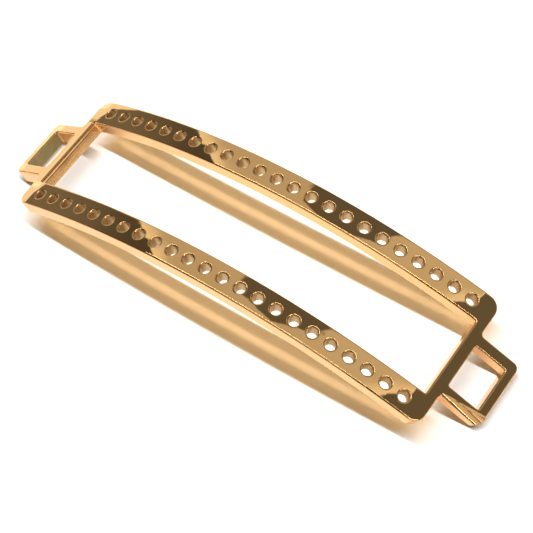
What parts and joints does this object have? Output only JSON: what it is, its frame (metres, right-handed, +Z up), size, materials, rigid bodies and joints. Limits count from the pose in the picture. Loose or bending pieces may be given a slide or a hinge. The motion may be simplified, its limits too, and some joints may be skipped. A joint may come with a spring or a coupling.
{
  "type": "arched bead weaving connector frame",
  "caption": "Shallow-arched rectangular metal frame with a row of thread holes along each long rail and a rectangular strap loop at each end, for bead-woven bracelets and straps.",
  "frame": {"origin": "centre of the plan, on the flat surface that the feet of the two loop tips stand on", "axes": "+X along the length, +Y across the width towards the back rail, +Z up through the crown of the arch"},
  "size_m": [0.0448, 0.0116, 0.0067],
  "materials": {
    "gold_plate": "mirror polished gold plate with small pits and fine draw lines on the cut edges"
  },
  "bodies": {
    "root": {"front_rail": "gold_plate", "back_rail": "gold_plate", "left_end_bar": "gold_plate", "right_end_bar": "gold_plate", "left_strap_loop": "gold_plate", "right_strap_loop": "gold_plate"}
  },
  "joints": []
}
